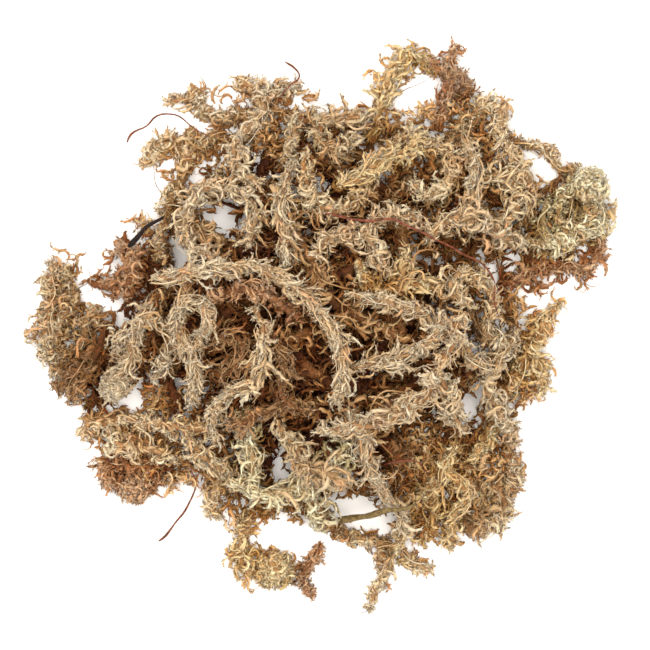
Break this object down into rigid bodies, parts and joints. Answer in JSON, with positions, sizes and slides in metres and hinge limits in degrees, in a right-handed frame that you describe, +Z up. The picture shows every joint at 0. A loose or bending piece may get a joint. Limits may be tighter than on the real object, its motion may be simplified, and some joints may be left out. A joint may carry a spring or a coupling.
{
  "type": "dried sphagnum moss clump",
  "caption": "Loose clump of dried sphagnum moss: straw, cream, tan, rust and pale green strands with small leafy branches, tangled with dark wiry roots and twigs.",
  "frame": {"origin": "middle of the clump's bounding box, on the table it lies on", "axes": "+Z up from the table, +Y towards the side with the tall loop of moss, +X towards the side with the pale green head"},
  "size_m": [0.1889, 0.1925, 0.0404],
  "materials": {
    "straw": "dry straw-coloured moss, matt",
    "pale": "bleached cream moss, matt",
    "golden": "yellow-tan moss, matt",
    "rust": "rust-brown moss, matt",
    "brown": "dark brown old moss, matt",
    "ashen": "greyish tan moss, matt",
    "green": "dry pale yellow-green moss, matt",
    "root": "dark red-brown wiry root, slightly glossy",
    "twig": "olive-brown dead twig, matt",
    "bark": "nearly black bark, matt"
  },
  "bodies": {
    "root": {"bed_1": "ashen", "bed_2": "brown", "bed_3": "ashen", "bed_4": "brown", "bed_5": "ashen", "left_tuft": "ashen", "left_tuft_shade": "brown", "rust_curl": "rust", "low_left_mat": "straw", "rust_ring": "rust", "low_left_fringe": "straw", "gold_head": "golden", "low_bridge": "green", "bottom_rope": "straw", "rust_drop": "rust", "lower_right_fan": "golden", "corner_tuft": "ashen", "green_rim": "rust", "green_head": "green", "thin_link": "straw", "loop_left": "golden", "rust_pillar": "rust", "top_left_tip": "pale", "left_column": "straw", "top_middle": "ashen", "left_column_inner": "pale", "swirl": "brown", "pale_plume": "pale", "upper_right_crest": "straw", "right_sweep": "golden", "right_sweep_inner": "pale", "top_left_crest": "pale", "pale_reed": "pale", "south_west_rope": "ashen", "low_shade": "brown", "upper_ring": "straw", "north_tangle": "straw", "tan_uprights": "golden", "centre_ring": "straw", "ring_left": "pale", "rust_band": "rust", "pale_column": "pale", "gold_diagonal": "golden", "curl_disc": "straw", "centre_curl": "pale", "white_hump": "pale", "arch_descent": "pale", "centre_mass": "pale", "south_rope": "pale", "vee": "pale", "big_diagonal": "pale", "great_arch": "pale", "red_root": "root", "lower_red_root": "root", "left_root": "root", "top_root": "root", "bottom_root": "root", "dead_twig": "twig", "charred_twig": "bark"}
  },
  "joints": []
}
